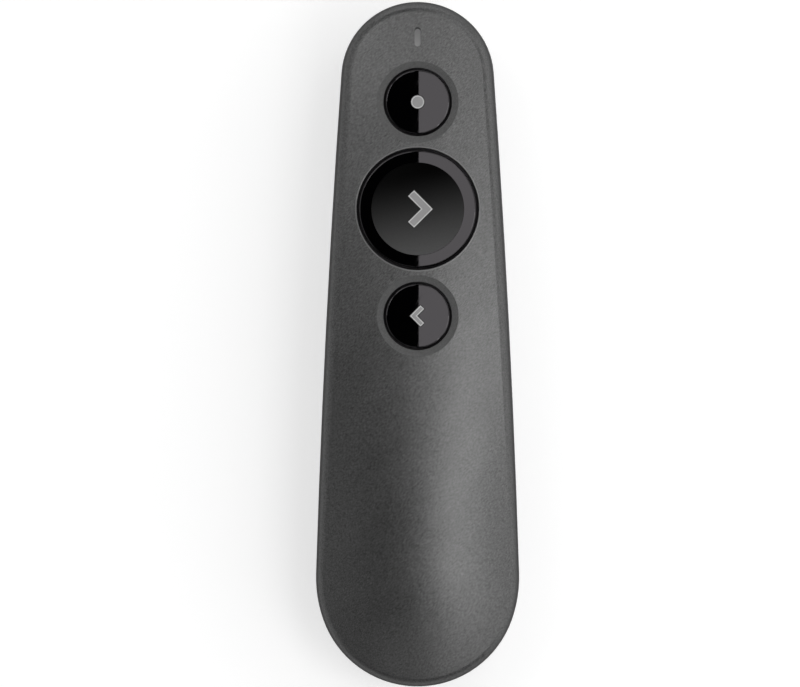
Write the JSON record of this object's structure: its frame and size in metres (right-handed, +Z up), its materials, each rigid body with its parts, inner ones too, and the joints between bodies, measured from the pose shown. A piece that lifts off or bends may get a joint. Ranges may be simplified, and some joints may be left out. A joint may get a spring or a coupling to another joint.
{
  "type": "wireless presentation clicker",
  "caption": "Hand-held wireless presentation clicker with sprung round buttons, a laser in the nose, a sliding battery door and a plug-in receiver docked in its tail.",
  "frame": {"origin": "under the middle of the body, on the surface that the belly lies on", "axes": "+X right across the body, +Y along the body to the nose with the laser, +Z up through the buttons"},
  "size_m": [0.0386, 0.13, 0.027],
  "materials": {
    "graphite_shell": "fine textured graphite-grey moulded plastic",
    "black_shell": "fine textured black moulded plastic",
    "gloss_cap": "polished black plastic",
    "soft_pad": "soft-touch black rubber",
    "window": "dark clear plastic window",
    "light_pipe": "translucent milky plastic",
    "frame_plastic": "natural grey moulded plastic",
    "board": "green solder resist on glass-fibre board",
    "switch_plastic": "black moulded plastic",
    "plunger_plastic": "ivory moulded plastic",
    "chip_epoxy": "moulded black epoxy",
    "crystal_can": "plated metal can",
    "ceramic_chip": "sintered ceramic with tinned ends",
    "led_lens": "clear resin over a white base",
    "barrel_brass": "turned brass",
    "lens": "moulded clear lens",
    "lead_red": "wire insulation",
    "lead_black": "wire insulation",
    "cell_sleeve": "printed plastic sleeve over a steel can",
    "cell_steel": "nickel-plated steel",
    "spring_steel": "nickel-plated spring steel",
    "plug_steel": "nickel-plated sheet steel",
    "receiver_plastic": "black moulded plastic",
    "tongue_plastic": "black insulating plastic",
    "gold_contact": "gold-plated contact",
    "screw_steel": "black-zinc plated steel"
  },
  "bodies": {
    "case": {"top_shell": "graphite_shell", "bottom_shell": "black_shell", "laser_window": "window", "light_pipe": "light_pipe", "button_frame": "frame_plastic", "main_board": "board", "laser_switch_body": "switch_plastic", "next_switch_body": "switch_plastic", "back_switch_body": "switch_plastic", "controller_chip": "chip_epoxy", "crystal": "crystal_can", "chip_components": "ceramic_chip", "antenna": "ceramic_chip", "status_led": "led_lens", "laser_barrel": "barrel_brass", "laser_lens": "lens", "laser_driver_board": "board", "laser_leads": "lead_red", "battery_cell": "cell_sleeve", "battery_positive_cap": "cell_steel", "battery_negative_end": "cell_steel", "positive_contact": "spring_steel", "spring_plate": "spring_steel", "battery_spring": "spring_steel", "battery_lead": "lead_black", "shell_screws": "screw_steel", "board_screws": "screw_steel"},
    "laser_button_body": {"laser_button": "gloss_cap", "laser_switch_plunger": "plunger_plastic"},
    "next_button_body": {"next_button": "gloss_cap", "next_pad": "soft_pad", "next_switch_plunger": "plunger_plastic"},
    "back_button_body": {"back_button": "gloss_cap", "back_switch_plunger": "plunger_plastic"},
    "battery_door_body": {"battery_door": "black_shell"},
    "receiver": {"receiver_body": "receiver_plastic", "receiver_plug_shell": "plug_steel", "receiver_tongue": "tongue_plastic", "receiver_contacts": "gold_contact"}
  },
  "joints": [
    {"name": "laser_button_press", "type": "slide", "parent": "case", "child": "laser_button_body", "axis": [0, 0, -1], "range_m": [0, 0.0006], "stiffness_N_per_m": 1500, "springref_m": -0.0003},
    {"name": "next_button_press", "type": "slide", "parent": "case", "child": "next_button_body", "axis": [0, 0, -1], "range_m": [0, 0.0006], "stiffness_N_per_m": 1500, "springref_m": -0.0003},
    {"name": "back_button_press", "type": "slide", "parent": "case", "child": "back_button_body", "axis": [0, 0, -1], "range_m": [0, 0.0006], "stiffness_N_per_m": 1500, "springref_m": -0.0003},
    {"name": "battery_door_slide", "type": "slide", "parent": "case", "child": "battery_door_body", "axis": [0, -1, 0], "range_m": [0, 0.06]},
    {"name": "receiver_pull", "type": "slide", "parent": "case", "child": "receiver", "axis": [0, -1, 0], "range_m": [0, 0.021]}
  ]
}
